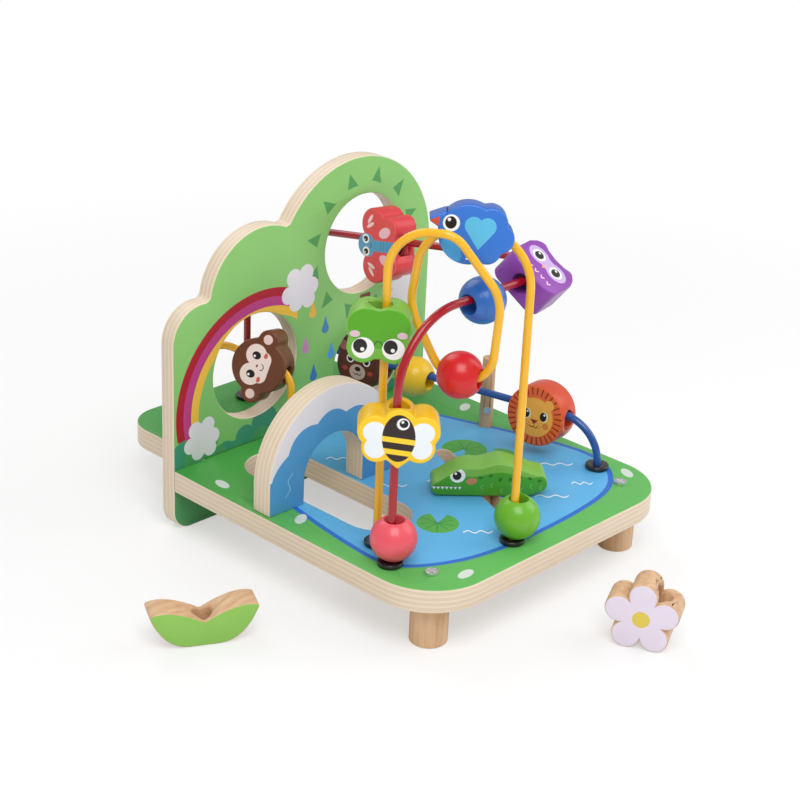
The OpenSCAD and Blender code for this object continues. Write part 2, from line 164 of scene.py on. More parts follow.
def oval(p, x, y, rx, ry, turn=0):
    q = p.seenFrom((x, y, 0), (0, 0, math.radians(turn)), (rx, ry, 1))
    return (q.length() - 1.0) * min(rx, ry)


def slab(p, x, y, halfX, halfY, r, turn=0):
    q = p.seenFrom((x, y, 0), (0, 0, math.radians(turn)))
    away = q.vector("ABSOLUTE").vector("SUBTRACT", (halfX - r, halfY - r, 0))
    return away.vector("MAXIMUM", (0, 0, 0)).length() - r


def bar(p, x0, y0, x1, y1, width):
    long = math.hypot(x1 - x0, y1 - y0)
    turn = math.degrees(math.atan2(y1 - y0, x1 - x0))
    return slab(p, (x0 + x1) / 2, (y0 + y1) / 2, (long + width) / 2, width / 2, width / 2 - 0.01, turn)


def ring(p, x, y, r, width):
    return abs(disc(p, x, y, r)) - width / 2


def convex(p, corners, soft=0.0):
    # corners go round anticlockwise
    edge = None
    for (x0, y0), (x1, y1) in zip(corners, corners[1:] + corners[:1]):
        long = math.hypot(x1 - x0, y1 - y0)
        out = ((y1 - y0) / long, (x0 - x1) / long, 0)
        side = p.vector("DOT_PRODUCT", out, pick=1) - (out[0] * x0 + out[1] * y0)
        edge = side if edge is None else edge.math("SMOOTH_MAX", side, soft) if soft else edge.high(side)
    return edge


def ripple(p, x, y, long, high, count, width, turn=0):
    sx, sy, _ = p.seenFrom((x, y, 0), (0, 0, math.radians(turn))).parts()
    line = abs(sy - (sx * (2 * math.pi * count / long)).math("SINE") * high) - width / 2
    return line.high(abs(sx) - long / 2)


def joined(*shapes):
    whole = shapes[0]
    for shape in shapes[1:]:
        whole = whole.low(shape)
    return whole


def inside(shape, soft=0.14):
    return shape.math("MULTIPLY_ADD", -0.5 / soft, 0.5, clamp=True)


def printed(colour, layers):
    for ink, shape in layers:
        colour = colour.mix(ink, inside(shape))
    return colour


white = tint(246, 246, 244)
black = tint(28, 24, 26)


def eye(p, x, y, r, pupil, lookX=0.0, lookY=0.0):
    px = x + lookX
    py = y + lookY
    return [(white, disc(p, x, y, r)), (black, oval(p, px, py, pupil * 0.92, pupil)),
            (white, disc(p, px - pupil * 0.3, py + pupil * 0.45, pupil * 0.27))]


# Bare wood and plywood
beechTones = {"pale": tint(226, 190, 152), "dark": tint(196, 152, 112), "fleck": tint(170, 122, 84)}
inkDepth = 0.25  # how far below a face its print still shows, in mm
plyTones = {"pale": tint(236, 220, 198), "dark": tint(206, 178, 146), "glue": tint(158, 124, 92)}


def beech(place, along):
    # grain runs along one direction, with short dark flecks in it
    stretch = [0.06 if abs(value) > 0.5 else 1.0 for value in along]
    q = place.vector("MULTIPLY", tuple(stretch))
    rings = noise(q, 260.0, 4.0)
    short = tuple(0.16 if abs(value) > 0.5 else 1.0 for value in along)
    fleck = noise(place.vector("MULTIPLY", short), 1500.0, 2.0)
    dark = rings.math("MULTIPLY_ADD", 2.2, -0.65, clamp=True)
    colour = solid(place, beechTones["pale"]).mix(beechTones["dark"], dark)
    return colour.mix(beechTones["fleck"], fleck.math("MULTIPLY_ADD", 6.0, -3.9, clamp=True)), rings


def plyEdge(place, across, start, thick, layers):
    # layers lie across one direction; every other one shows its end grain
    level = (place.vector("DOT_PRODUCT", across, pick=1) * 1000.0 - start) * (layers / thick)
    every = (level * 0.5).math("FRACT").math("GREATER_THAN", 0.5)
    glue = abs(level.math("FRACT") - 0.5).math("MULTIPLY_ADD", 12.0, -5.3, clamp=True)
    flat = tuple(1.0 if abs(v) > 0.5 else 0.07 for v in across)
    long = noise(place.vector("MULTIPLY", flat), 900.0, 3.0)
    pores = noise(place, 1400.0, 2.0)
    colour = solid(place, plyTones["pale"]).mix(plyTones["dark"], every * 0.55 * pores + long * 0.35)
    return colour.mix(plyTones["glue"], glue * (long * 0.7 + 0.1)), long


def lacquered(name, colour, shade, roughness=0.32, coat=0.35):
    # opaque paint that lets a little of the grain through
    material, shader, place = finish(name, roughness, coat)
    drift = noise(place, 60.0, 2.0)
    grain = noise(place.vector("MULTIPLY", (1, 1, 0.1)), 700.0, 3.0)
    body = solid(place, colour).mix(shade, (drift * 0.35 + grain * 0.25).math("MULTIPLY", 0.8))
    feed(place, shader, "Base Color", body)
    feed(place, shader, "Roughness", grain * 0.1 + (roughness - 0.05))
    bump(place, shader, grain, 0.05)
    return material


# Pieces: a copy of the sawn solid with its edges sanded round
def sanded(name, material, width=1.2, steps=3, sharp=38):
    mesh = nodes[name].data.copy()
    mesh.materials.clear()
    piece = bpy.data.objects.new(name + "_wood", mesh)
    bpy.context.scene.collection.objects.link(piece)
    bpy.ops.object.select_all(action="DESELECT")
    piece.select_set(True)
    bpy.context.view_layer.objects.active = piece
    bpy.ops.mesh.customdata_custom_splitnormals_clear()
    bpy.ops.object.mode_set(mode="EDIT")
    bpy.ops.mesh.select_all(action="SELECT")
    bpy.ops.mesh.remove_doubles(threshold=0.01 * mm)
    bpy.ops.mesh.dissolve_limited(angle_limit=math.radians(0.6))
    bpy.ops.object.mode_set(mode="OBJECT")
    if width:
        rounding = piece.modifiers.new("sanded", "BEVEL")
        rounding.limit_method = "ANGLE"
        rounding.angle_limit = math.radians(sharp)
        rounding.width = width * mm
        rounding.segments = steps
        rounding.use_clamp_overlap = False
        bpy.ops.object.modifier_apply(modifier=rounding.name)
    bpy.ops.object.shade_smooth_by_angle(angle=math.radians(sharp))
    mesh.materials.append(material)
    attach(piece, bodyOf[name])
    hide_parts(name)
    return piece


# Base board: lawn and pond on top, bare layered edges
boardPrint = {
    "top": 44.0, "bottom": 29.0, "layers": 9,
    # the darker lawn green is painted shade towards the panel, and also a little random mottling
    "lawn": tint(100, 182, 92), "lawnMottleAndPaintedShade": tint(66, 156, 66), "pond": tint(102, 186, 235),
    "pondDeep": tint(82, 166, 222), "pondRound": 26.0, "bank": tint(44, 108, 200), "bankWidth": 3.4,
    "pondCorners": [(-84, -56), (-102, -132), (-103, -186), (-62, -213), (-10, -219), (40, -218),
                    (84, -208), (111, -176), (112, -152), (84, -64), (70, -28), (-60, -28)],
    "ripples": [(79, -161, 22), (41, -189, 22), (-22, -62, 18), (-24, -112, 18), (4, -128, 18),
                (30, -78, 16), (-30, -190, 18), (70, -190, 14)],
    "petals": [(-99, -107, 32), (-74, -220, 8), (101, -60, 28), (104, -200, 60), (-104, -40, 80),
               (30, 50, 20)],
    "pads": [(-40, -166, 13, 40), (50, -106, 15, 200), (62, -128, 10, 100)],
    "rippleHeight": 1.5, "rippleWaves": 2.2, "rippleWidth": 1.2, "rippleTurn": -42,
    "petal": tint(206, 219, 208), "petalHalf": (6.5, 3.4),
    "pad": tint(86, 170, 74), "padVein": tint(56, 138, 60), "veinWidth": 0.7,
}


def boardFinish(d):
    material, shader, place = finish("printed_lawn_and_painted_shade", 0.42, 0.12)
    edge, grain = plyEdge(place, (0, 0, 1), d["bottom"], d["top"] - d["bottom"], d["layers"])
    p = place.seenFrom((0, 0, 0), (0, 0, 0), (mm, mm, mm))
    height = p.parts()[2]
    p = p.vector("MULTIPLY", (1, 1, 0))
    y = p.parts()[1]
    # the lawn darkens towards the panel: painted shade where the board meets the panel, plus a little random
    # mottling
    paintedShadeToPanel = y.math("MULTIPLY_ADD", 0.009, 1.25, clamp=True)
    lawn = solid(place, d["lawn"]).mix(d["lawnMottleAndPaintedShade"], paintedShadeToPanel * 0.75 + noise(place, 40.0) * 0.2)
    pond = convex(p, d["pondCorners"], d["pondRound"])
    water = solid(place, d["pond"]).mix(d["pondDeep"], noise(place, 22.0, 2.0) * 0.8)
    top = lawn.mix(water, inside(pond, 0.2))
    layers = [(d["bank"], abs(pond) - d["bankWidth"] / 2)]
    for x, yMid, r, turn in d["pads"]:
        notch = convex(p, wedge(x, yMid, r * 1.2, turn, 24))
        layers.append((d["pad"], disc(p, x, yMid, r).high(-notch)))
        for vein in range(-120, 121, 40):
            a = math.radians(turn + 180 + vein)
            tip = (x + r * 0.8 * math.cos(a), yMid + r * 0.8 * math.sin(a))
            layers.append((d["padVein"], bar(p, x, yMid, *tip, d["veinWidth"])))
    for x, yMid, long in d["ripples"]:
        wave = (long, d["rippleHeight"], d["rippleWaves"], d["rippleWidth"], d["rippleTurn"])
        layers.append((white, ripple(p, x, yMid, *wave)))
    for x, yMid, turn in d["petals"]:
        layers.append((d["petal"], oval(p, x, yMid, *d["petalHalf"], turn)))
    top = printed(top, layers)
    lengthwise = noise(place.vector("MULTIPLY", (0.05, 1, 1)), 300.0)
    veneer = solid(place, plyTones["pale"]).mix(plyTones["dark"], lengthwise)
    colour = edge.mix(top, inside(d["top"] - inkDepth - height, 0.1))
    colour = colour.mix(veneer, inside(height - d["bottom"] - inkDepth, 0.1))
    feed(place, shader, "Base Color", colour)
    bump(place, shader, grain, 0.06)
    return material


def wedge(x, y, reach, turn, spread):
    # a triangle with its tip at x, y
    ends = [math.radians(turn - spread), math.radians(turn + spread)]
    return [(x, y)] + [(x + reach * math.cos(a), y + reach * math.sin(a)) for a in ends]


# Back panel: meadow with a rainbow, clouds, drops and leaf marks
panelPrint = {
    # low is the darker green of painted shade near the board, and also used for a little random mottling
    "thick": 12.0, "layers": 7, "green": tint(140, 197, 112), "low": tint(98, 172, 90),
    "bush": tint(62, 142, 112), "bushNear": tint(74, 150, 92), "leaf": tint(78, 154, 84),
    "trunk": tint(122, 70, 52), "cloud": tint(226, 221, 226),
    "rainbow": [(70.0, 6.2, tint(172, 26, 46)), (63.8, 6.4, tint(186, 62, 130)),
                (57.6, 6.2, tint(240, 190, 66))],
    "rainbowMiddle": (-40, 76), "rainbowFoot": 62, "rainbowEnd": -10, "upperWindow": (49, 161, 34.5),
    "clouds": [(-92, 60, 1.0), (-8, 143, 1.1), (88, 118, 0.9)],
    "drops": [(4, 122, tint(234, 180, 70)), (16, 108, tint(66, 132, 180)), (-2, 98, tint(198, 132, 184)),
              (22, 88, tint(90, 160, 220)), (6, 76, tint(60, 118, 176)), (16, 62, tint(176, 60, 70))],
    "dropSize": 3.9, "leafMarks": 12, "leafMarksFrom": 62, "bushHeight": 50, "bushNearHeight": 40,
}


def dropShape(p, x, y, size):
    point = convex(p, [(x - size * 0.8, y), (x + size * 0.8, y), (x, y + size * 2.4)])
    return joined(disc(p, x, y, size * 0.85), point)


def cloudShape(p, x, y, size):
    puffs = [(0, 0, 8), (-9, -3, 5.6), (9, -1, 5.8), (-5, 7, 5.8), (5, 8, 5.6), (-3, -9, 5.4),
             (7, -9, 5.2)]
    return joined(*[disc(p, x + a * size, y + b * size, r * size) for a, b, r in puffs])


def panelFinish(d):
    material, shader, place = finish("printed_meadow_and_painted_shade", 0.45, 0.1)
    edge, grain = plyEdge(place, (0, 1, 0), -d["thick"] / 2, d["thick"], d["layers"])
    q = place.seenFrom((0, 0, 0), (math.radians(90), 0, 0), (mm, mm, mm))  # x across, y up
    depth = q.parts()[2]
    p = q.vector("MULTIPLY", (1, 1, 0))
    x, z, _ = p.parts()
    # the green darkens towards the bottom of the panel: painted shade where the panel meets the board, plus a
    # little random mottling
    paintedShadeBelow = z.math("MULTIPLY_ADD", -0.009, 1.0, clamp=True)
    colour = solid(place, d["green"]).mix(d["low"], paintedShadeBelow * 0.9 + noise(place, 30.0, 2.0) * 0.12)
    mx, mz = d["rainbowMiddle"]
    layers = []
    for r, width, ink in d["rainbow"]:
        layers.append((ink, ring(p, mx, mz, r, width).high(d["rainbowFoot"] - z).high(x - d["rainbowEnd"])))
    wx, wz, wr = d["upperWindow"]
    turned = p.vector("SUBTRACT", (wx, wz, 0))
    tx, tz, _ = turned.parts()
    around = tz.math("ARCTAN2", tx) * (d["leafMarks"] / (2 * math.pi))
    swing = (around.math("FRACT") - 0.5) * (2 * math.pi / d["leafMarks"])
    far = turned.length()
    side = far * swing
    leafMark = convex(place.node("CombineXYZ", values={0: side, 1: far, 2: 0.0}),
                      [(-4.8, wr + 7.5), (4.8, wr + 8.5), (0.6, wr + 18.5)])
    layers.append((d["leaf"], leafMark.high(d["leafMarksFrom"] - z)))
    layers.append((d["trunk"], slab(p, wx + 4, wz - wr - 14, 5, 12, 1.0).high(-disc(p, wx, wz, wr + 1))))
    for a, b, ink in d["drops"]:
        layers.append((ink, dropShape(p, a, b, d["dropSize"])))
    behind = d["bushHeight"]
    humps = [(k * 17.0 - 106, behind + 7 * math.sin(k * 2.1), 10 + 2.5 * math.cos(k * 1.3))
             for k in range(13)]
    layers.append((d["bush"], joined(*[disc(p, *hump) for hump in humps]).low(z - behind)))
    before = d["bushNearHeight"]
    near = [(k * 19.0 - 98, before + 2 + 5 * math.cos(k * 1.7), 9.0) for k in range(12)]
    layers.append((d["bushNear"], joined(*[disc(p, *hump) for hump in near]).low(z - before)))
    for a, b, size in d["clouds"]:
        layers.append((d["cloud"], cloudShape(p, a, b, size)))
    colour = edge.mix(printed(colour, layers), inside(d["thick"] / 2 - inkDepth - abs(depth), 0.1))
    feed(place, shader, "Base Color", colour)
    bump(place, shader, grain, 0.06)
    return material


# Arch: blue water with a foamy top
archPrint = {
    "middle": (-59, 63), "front": -94.0, "thick": 15.0, "layers": 9, "blue": tint(84, 156, 208),
    "deep": tint(66, 136, 194), "foam": tint(224, 220, 226), "foamFrom": 34.5, "foamWave": 4.2,
    "foamTaper": 15.0,
}


def archFinish(d):
    material, shader, place = finish("printed_water", 0.42, 0.12)
    edge, grain = plyEdge(place, (0, 1, 0), d["front"], d["thick"], d["layers"])
    q = place.seenFrom((0, (d["front"] + d["thick"] / 2) * mm, 0), (math.radians(90), 0, 0), (mm, mm, mm))
    depth = q.parts()[2]
    p = q.vector("MULTIPLY", (1, 1, 0)).vector("SUBTRACT", (*d["middle"], 0))
    x, z, _ = p.parts()
    angle = z.math("ARCTAN2", x)
    wave = abs((angle * 4.5 + 0.4).math("SINE")) * d["foamWave"]
    far = p.length()
    # the foam thins out towards both feet
    foam = wave + (1.0 - z / far) * d["foamTaper"] + d["foamFrom"] - far
    water = solid(place, d["blue"]).mix(d["deep"], noise(place, 25.0, 2.0) * 0.7)
    streak = ripple(p, -38, -2, 16, 1.4, 1.4, 1.0, 80).low(ripple(p, 38, -8, 14, 1.4, 1.4, 1.0, 96))
    colour = printed(water, [(d["foam"], foam.high(4 - z)), (tint(120, 186, 226), streak)])
    colour = edge.mix(colour, inside(d["thick"] / 2 - inkDepth - abs(depth), 0.1))
    feed(place, shader, "Base Color", colour)
    bump(place, shader, grain, 0.06)
    return material


sanded("base_board", boardFinish(boardPrint), 0.9)
sanded("back_panel", panelFinish(panelPrint), 1.1)
sanded("arch_bridge", archFinish(archPrint), 0.9)
print("boards done")


# Turned legs, post and bush: bare beech
def beechFinish(name, along):
    material, shader, place = finish(name, 0.5, 0.05)
    colour, grain = beech(place, along)
    feed(place, shader, "Base Color", colour)
    feed(place, shader, "Roughness", grain * 0.2 + 0.42)
    bump(place, shader, grain, 0.1)
    return material


turnedBeech = beechFinish("turned_beech", (0, 0, 1))
for name in ("front_left_leg", "front_right_leg"):
    sanded(name, turnedBeech, 1.0)
sanded("flower_post", turnedBeech, 0.8)
sanded("crocodile_bush", turnedBeech, 0.5)


# Screws: zinc plated steel
def zincFinish():
    material, shader, place = finish("zinc_plate", 0.32, 0.0, 1.0)
    scuff = noise(place, 900.0)
    colour = solid(place, tint(242, 242, 244)).mix(tint(196, 196, 200), scuff * 0.6)
    feed(place, shader, "Base Color", colour)
    feed(place, shader, "Roughness", scuff * 0.25 + 0.2)
    return material


zinc = zincFinish()
for name in ("leg_screws", "arch_screws", "panel_screws", "post_pin", "crocodile_screw"):
    sanded(name, zinc, 0.2, 2)
print("legs and screws done")


# Wires: powder coat over steel rod, and black caps at their feet
def coatedFinish(name, colour, shade):
    material, shader, place = finish(name, 0.22, 0.6)
    drift = noise(place, 90.0, 2.0)
    peel = noise(place, 1600.0, 2.0)
    feed(place, shader, "Base Color", solid(place, colour).mix(shade, drift * 0.5))
    feed(place, shader, "Roughness", peel * 0.15 + 0.17)
    bump(place, shader, peel, 0.03)
    return material


wireColours = {
    "yellow": (tint(247, 189, 30), tint(226, 160, 16)),
    "red": (tint(172, 12, 32), tint(138, 6, 22)),
    "blue": (tint(36, 88, 162), tint(26, 66, 134)),
}
coats = {name: coatedFinish(name + "_coat", *pair) for name, pair in wireColours.items()}
wires = {
    "yellow_loop_wire": "yellow", "yellow_hill_wire": "yellow", "red_sweep_wire": "red",
    "blue_stream_wire": "blue",
}
for name, coat in wires.items():
    sanded(name, coats[coat], 0.0, sharp=50)
sanded("wire_caps", coatedFinish("black_cap", tint(26, 24, 28), tint(40, 38, 42)), 0.7)

# Round beads
ballColours = {
    "pink_ball": (tint(236, 92, 104), tint(214, 66, 84)),
    "green_ball": (tint(112, 182, 46), tint(84, 156, 30)),
    "red_ball": (tint(216, 34, 38), tint(184, 20, 28)),
    "blue_ball": (tint(58, 122, 212), tint(38, 96, 186)),
    "yellow_ball": (tint(245, 200, 40), tint(226, 172, 22)),
}
for name, pair in ballColours.items():
    sanded(name, lacquered(name + "_paint", *pair), 1.0)
print("wires and balls done")

# Figure beads: where each sits, in mm, where its face looks, and how its outline is turned on the wire
beads = {
    "frog_bead": {"middle": (-89.181, -157.658, 181.5), "face": (-0.75, -0.66, 0.15), "quarter": 180},
    "bee_bead": {"middle": (-95.935, -182.08, 128), "face": (-0.7, -0.7, 0.15), "quarter": 0},
    "butterfly_bead": {"middle": (49, -29.727, 166.553), "face": (-1, 0, 0.1), "quarter": 0},
    "bird_bead": {"middle": (-47.245, -187.094, 237.901), "face": (-0.7, -0.7, 0.15), "quarter": 90},
    "owl_bead": {"middle": (19.453, -179.114, 193.936), "face": (0.3, -0.55, 0.78), "quarter": 0},
    "monkey_bead": {"middle": (-38.621, -4.947, 96.172), "face": (-0.9, -0.3, 0.3), "quarter": 180},
    "lion_bead": {"middle": (85.927, -139.968, 71.8), "face": (-1, 0, 0.1), "quarter": -90},
    "bear_bead": {"middle": (56.809, -5.075, 71.8), "face": (-1, 0, 0.1), "quarter": -90},
}
figureThick = 20.0


def beadPlace(name, place):
    # the figure's own x, y and thickness in mm
    d = beads[name]
    joint = jointOf[name]
    middle = Vector(d["middle"]) * mm
    axis = Vector(joint["axis"]).normalized()
    along = axis if joint["type"] == "slide" else axis.cross(middle - Vector(joint["pos_m"])).normalized()
    face = Vector(d["face"])
    face = (face - along * face.dot(along)).normalized()
    upright = Matrix((along.cross(face), along, face)).transposed()
    turned = upright @ Matrix.Rotation(math.radians(d["quarter"]), 3, "Z")
    q = place.seenFrom(middle, turned.to_euler(), (mm, mm, mm))
    return q.vector("MULTIPLY", (1, 1, 0)), q.parts()[2]


def figureFinish(name, side, sideShade, face, draw):
    material, shader, place = finish(name + "_paint", 0.36, 0.14)
    p, depth = beadPlace(name, place)
    grain = noise(place.vector("MULTIPLY", (1, 1, 0.12)), 650.0, 3.0)
    body = solid(place, side).mix(sideShade, noise(place, 70.0, 2.0) * 0.5 + grain * 0.25)
    ink = printed(solid(place, face), draw(p))
    feed(place, shader, "Base Color", body.mix(ink, inside(figureThick / 2 - 0.5 - abs(depth), 0.12)))
    feed(place, shader, "Roughness", grain * 0.12 + 0.3)
    bump(place, shader, grain, 0.05)
    return material


def frogFace(p):
    dark = tint(86, 166, 30)
    layers = [(dark, oval(p, 0, -5.5, 17.5, 13.5))]
    for side in (-1, 1):
        layers += eye(p, side * 8.6, 8, 6.4, 4.3, 1.6, -1.2)
        layers.append((tint(226, 190, 206), oval(p, side * 13.4, -0.4, 2.9, 2.0)))
    layers.append((tint(46, 104, 24), ring(p, 0, 6.0, 2.2, 0.7).high(p.parts()[1] - 6.2)))
    return layers


def beeFace(p):
    gold = tint(252, 212, 46)
    layers = []
    for side in (-1, 1):
        wing = joined(oval(p, side * 13.6, 4, 6.6, 6.4), oval(p, side * 13, -5.5, 6.2, 6.6))
        layers.append((tint(236, 242, 246), wing))
    body = oval(p, 0, 0.5, 9.4, 14.5)
    layers.append((tint(44, 32, 28), body))
    for low in (-0.8, -8.2):
        layers.append((gold, slab(p, 0, low, 12, 1.6, 0.2, -7).high(body)))
    layers.append((tint(44, 32, 28), convex(p, [(-3, -13), (3, -13), (0, -17.6)])))
    layers.append((white, disc(p, 2.2, 9.4, 3.6)))
    layers.append((black, disc(p, 2.6, 9.6, 2.5)))
    layers.append((white, disc(p, 1.9, 10.6, 0.8)))
    return layers


def butterflyFace(p):
    blue = tint(92, 160, 200)
    pale = tint(252, 214, 214)
    layers = []
    for side in (-1, 1):
        for k in (-1, 1):
            layers.append((pale, oval(p, side * 15.5 + k * 2.0, 6.5, 1.2, 3.6, side * 40 + k * 12)))
        layers.append((tint(246, 190, 204), oval(p, side * 9.2, -6.5, 3.4, 5.4, side * 22)))
    layers.append((blue, bar(p, 0, 6, 0, -13, 7.4)))
    for row in range(4):
        layers.append((tint(70, 138, 184), slab(p, 0, -2.5 - 3 * row, 3.4, 0.35, 0.2)))
    layers.append((blue, disc(p, 0, 10.5, 7.8)))
    for side in (-1, 1):
        layers += eye(p, side * 4.2, 11, 3.2, 2.0)
    layers.append((black, ring(p, 0, 7.4, 1.3, 0.5).high(p.parts()[1] - 7.2)))
    return layers


def birdFace(p):
    sky = tint(92, 184, 222)
    heart = joined(disc(p, -0.9, 5.2, 5.0), disc(p, 6.7, 5.2, 5.0),
                   convex(p, [(-5.0, 2.4), (2.8, -8.2), (10.9, 2.4), (3, 6)], 1.0))
    layers = [(tint(70, 160, 220), oval(p, -12, -9.5, 7.5, 4.6, -48)), (sky, heart)]
    layers += eye(p, -13.4, 5.6, 4.7, 3.5, -0.3, 0.2)
    layers.append((tint(214, 82, 48), convex(p, [(-25.6, 6.2), (-20.4, 3.0), (-20.0, 8.6)], 0.4)))
    layers.append((tint(196, 170, 214), oval(p, -9.6, -2.4, 2.0, 1.5)))
    layers.append((tint(232, 240, 246), oval(p, -1, -13.2, 2.6, 0.9, 8)))
    return layers


def owlFace(p):
    lilac = tint(204, 176, 226)
    mask = joined(disc(p, -7.3, 3.4, 7.6), disc(p, 7.3, 3.4, 7.6), slab(p, 0, 3.4, 8, 5.6, 1.5))
    layers = [(lilac, mask)]
    for side in (-1, 1):
        layers.append((white, oval(p, side * 7.3, 3.2, 4.6, 5.2)))
        layers.append((black, oval(p, side * 7.3, 3.2, 3.0, 4.0)))
        layers.append((white, disc(p, side * 7.3 - 0.9, 5.0, 0.9)))
    layers.append((tint(240, 170, 90), convex(p, [(-1.7, -1.2), (0, -4.6), (1.7, -1.2)])))
    for k in range(5):
        for lean in (-1, 1):
            x = (k - 2) * 5.2
            layers.append((tint(244, 206, 214), bar(p, x, -12.8, x + lean * 1.3, -11.0, 0.9)))
    return layers


def monkeyFace(p):
    mask = joined(disc(p, -6.6, 3.2, 7.2), disc(p, 6.6, 3.2, 7.2), slab(p, 0, -1.6, 10.5, 6.2, 5.0))
    layers = [(tint(240, 220, 212), mask)]
    for side in (-1, 1):
        layers.append((black, oval(p, side * 6.4, 3.0, 2.6, 3.0)))
        layers.append((white, disc(p, side * 6.4 - 0.8, 4.2, 0.8)))
        layers.append((tint(206, 92, 84), oval(p, side * 8.2, -3.2, 1.9, 1.3)))
        layers.append((tint(236, 206, 200), disc(p, side * 18.8, -1, 3.2)))
    layers.append((black, ring(p, 0, -1.8, 2.2, 0.6).high(p.parts()[1] + 2.2)))
    layers.append((tint(120, 66, 50), oval(p, 0, 0.6, 1.0, 0.7)))
    return layers


def lionFace(p):
    x, y, _ = p.parts()
    turn = y.math("ARCTAN2", x) * (30 / (2 * math.pi))
    stroke = abs(turn.math("FRACT") - 0.5) * (2 * math.pi * 17 / 30) - 0.5
    band = abs(p.length() - 17.0) - 2.6
    head = [disc(p, 0, -0.8, 13.2)] + [disc(p, side * 9.4, 9.2, 3.6) for side in (-1, 1)]
    layers = [(tint(158, 46, 24), stroke.high(band)), (tint(246, 176, 74), joined(*head))]
    for side in (-1, 1):
        layers.append((tint(250, 226, 178), oval(p, side * 6.2 + 0.6, 0.8, 2.9, 3.5)))
        layers.append((black, oval(p, side * 6.2, 0.8, 2.4, 3.1)))
        layers.append((white, disc(p, side * 6.2 + 0.8, 2.2, 0.7)))
        layers.append((tint(236, 128, 62), disc(p, side * 8.6, -5.2, 2.2)))
        layers.append((tint(120, 44, 30), ring(p, side * 1.4, -6.4, 1.4, 0.6).high(y + 6.4)))
        for k in range(3):
            spot = side * (3.8 + 1.3 * (k % 2))
            layers.append((tint(176, 92, 48), disc(p, spot, -5.4 - 1.1 * k, 0.35)))
    layers.append((tint(160, 40, 30), convex(p, [(0, -5.8), (2.9, -2.4), (-2.9, -2.4)], 0.4)))
    return layers


def bearFace(p):
    layers = [(tint(196, 172, 160), oval(p, 0, -4.5, 6.4, 5.4))]
    for side in (-1, 1):
        layers += eye(p, side * 6.6, 4, 3.0, 2.2)
        layers.append((tint(170, 110, 96), disc(p, side * 12.6, 12.2, 3.4)))
        layers.append((tint(176, 70, 60), oval(p, side * 10.2, -3.6, 2.2, 1.6)))
        layers.append((black, ring(p, side * 1.4, -5.2, 1.4, 0.6).high(p.parts()[1] + 5.2)))
    layers.append((black, oval(p, 0, -2.4, 2.4, 1.6)))
    return layers


figures = {
    "frog_bead": (tint(136, 194, 78), tint(112, 172, 56), tint(112, 184, 62), frogFace),
    "bee_bead": (tint(246, 198, 36), tint(228, 170, 20), tint(250, 204, 40), beeFace),
    "butterfly_bead": (tint(222, 66, 72), tint(196, 48, 58), tint(232, 84, 88), butterflyFace),
    "bird_bead": (tint(52, 108, 198), tint(36, 86, 172), tint(54, 116, 206), birdFace),
    "owl_bead": (tint(150, 76, 176), tint(124, 56, 152), tint(142, 66, 170), owlFace),
    "monkey_bead": (tint(124, 72, 42), tint(98, 54, 32), tint(108, 60, 38), monkeyFace),
    "lion_bead": (tint(226, 88, 52), tint(200, 66, 40), tint(234, 104, 50), lionFace),
    "bear_bead": (tint(100, 48, 38), tint(74, 34, 30), tint(92, 46, 38), bearFace),
}
for name, look in figures.items():
    sanded(name, figureFinish(name, *look), 1.3)
print("figure beads done")

# Crocodile: printed on both sides
crocodilePrint = {"bush": (15, -155), "turn": -43, "floor": 44.5, "thick": 20.0, "back": 2.0}


def crocodileFinish(d):
    material, shader, place = finish("crocodile_paint", 0.36, 0.25)
    middle = (d["bush"][0] * mm, d["bush"][1] * mm, d["floor"] * mm)
    q = place.seenFrom(middle, (math.radians(90), 0, math.radians(d["turn"])), (mm, mm, mm))
    p = q.vector("MULTIPLY", (1, 1, 0)).vector("SUBTRACT", (d["back"], 0, 0))
    depth = q.parts()[2]
    x, h, _ = p.parts()
    grain = noise(place.vector("MULTIPLY", (1, 1, 0.15)), 650.0, 3.0)
    drift = noise(place, 60.0, 2.0) * 0.6 + grain * 0.2
    light = solid(place, tint(136, 194, 84)).mix(tint(108, 172, 60), drift)
    back = h - ((x * 0.17 + 0.4).math("SINE") * 1.6 + 15.2)
    dark = tint(76, 162, 40)
    line = tint(46, 118, 30)
    layers = [(dark, back)]
    layers.append((line, abs(h - 6.4 - (x * 0.16).math("SINE") * 0.6).high(abs(x + 27) - 9.5) - 0.35))
    for k in range(7):
        tip = -35 + 2.7 * k
        layers.append((white, convex(p, [(tip, 4.6), (tip + 1.1, 6.5), (tip - 1.1, 6.5)])))
    layers.append((tint(206, 132, 92), oval(p, -11.6, 10.4, 3.4, 2.2, 10)))
    layers += eye(p, -20.5, 14.2, 4.8, 3.0, -0.4, 0.0)
    for k in range(7):
        a = -6 + 6.2 * k
        layers.append((line, oval(p, a, 13 + 1.6 * math.sin(k * 1.9), 1.5, 1.0, 30 * k)))
        scale = ring(p, a + 2, 6.4 + 2.4 * math.sin(k * 2.6), 1.4, 0.5).high(x - a - 2)
        layers.append((tint(132, 196, 84), scale))
    ink = printed(light, layers)
    feed(place, shader, "Base Color", light.mix(ink, inside(d["thick"] / 2 - 0.5 - abs(depth), 0.12)))
    feed(place, shader, "Roughness", grain * 0.12 + 0.3)
    bump(place, shader, grain, 0.05)
    return material


sanded("crocodile", crocodileFinish(crocodilePrint), 1.4)


# Loose flower and leaf: beech with a printed front
def looseFinish(name, middle, turn, thick, along, draw):
    material, shader, place = finish(name, 0.45, 0.1)
    wood, grain = beech(place, along)
    q = place.seenFrom(Vector(middle) * mm, (math.radians(90), 0, math.radians(turn)), (mm, mm, mm))
    p = q.vector("MULTIPLY", (1, 1, 0))
    ink = draw(place, p)
    colour = wood.mix(ink, inside(thick / 2 - 0.3 - abs(q.parts()[2]), 0.1))
    feed(place, shader, "Base Color", colour)
    feed(place, shader, "Roughness", grain * 0.2 + 0.38)
    bump(place, shader, grain, 0.12)
    return material


